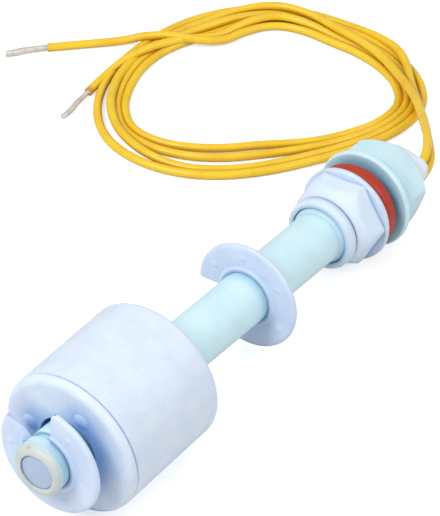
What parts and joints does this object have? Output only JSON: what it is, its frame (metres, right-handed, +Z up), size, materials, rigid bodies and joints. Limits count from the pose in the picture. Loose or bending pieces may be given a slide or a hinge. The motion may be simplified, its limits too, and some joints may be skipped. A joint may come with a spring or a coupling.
{
  "type": "float level switch",
  "caption": "Stem-mounted liquid level switch: a magnetic float slides on a stem between two clips, with a hexagonal head, clamping nut, gasket and a coiled lead pair.",
  "frame": {"origin": "on the surface the switch lies on, under the middle of the switch without its leads", "axes": "+X from the tip towards the head, +Y towards the coiled leads, +Z up"},
  "size_m": [0.1298, 0.0898, 0.0232],
  "materials": {
    "stem_pp": "pale cyan moulded polypropylene",
    "ferrule_pp": "cream moulded polypropylene",
    "plug_pp": "pale lavender polypropylene",
    "clip_pp": "pale lavender-blue polypropylene",
    "float_pp": "matte pale blue-white polypropylene",
    "nut_pp": "pale lavender-blue polypropylene",
    "gasket_silicone": "red-orange silicone rubber",
    "lead_pvc": "golden-yellow insulation",
    "tinned_copper": "tinned copper strands",
    "potting_resin": "whitish potting resin",
    "reed_glass": "clear greenish glass",
    "reed_alloy": "nickel-iron",
    "solder": "solder",
    "ferrite": "dark ferrite",
    "sleeve_pvc": "white insulating sleeve"
  },
  "bodies": {
    "stem": {"stem_body": "stem_pp", "end_ferrule": "ferrule_pp", "end_plug": "plug_pp", "end_clip": "clip_pp", "travel_clip": "clip_pp", "insulating_sleeve": "sleeve_pvc", "reed_blade_tip_side": "reed_alloy", "reed_blade_head_side": "reed_alloy", "reed_glass": "reed_glass", "lead_core_a": "lead_pvc", "lead_core_b": "lead_pvc", "solder_joint_a": "solder", "solder_joint_b": "solder", "potting": "potting_resin", "lead_a_exit": "lead_pvc", "lead_b_exit": "lead_pvc", "lead_a_tail": "lead_pvc", "lead_b_tail": "lead_pvc", "lead_coil": "lead_pvc", "tinned_end_a": "tinned_copper", "tinned_end_b": "tinned_copper"},
    "magnet": {"ring_magnet": "ferrite"},
    "float": {"float_shell": "float_pp", "float_cap": "float_pp"},
    "gasket": {"sealing_gasket": "gasket_silicone"},
    "nut": {"mounting_nut": "nut_pp"}
  },
  "joints": [
    {"name": "float_slide", "type": "slide", "parent": "stem", "child": "magnet", "axis": [0.9987, 0, -0.0508], "range_m": [-0.00236, 0.02151]},
    {"name": "float_spin", "type": "hinge", "parent": "magnet", "child": "float", "pos_m": [-0.02917, 0, 0.0116], "axis": [1, 0, 0], "continuous": true},
    {"name": "nut_travel", "type": "slide", "parent": "stem", "child": "gasket", "axis": [0.9987, 0, -0.0508], "range_m": [-0.007, 0.00088]},
    {"name": "nut_turn", "type": "hinge", "parent": "gasket", "child": "nut", "pos_m": [0.02259, 0, 0.00897], "axis": [0.9987, 0, -0.0508], "range_deg": [-1683.36, 211.62]}
  ],
  "couplings": [
    {"joint": "nut_turn", "follows": "nut_travel", "rad_per_m": 4188.8}
  ]
}
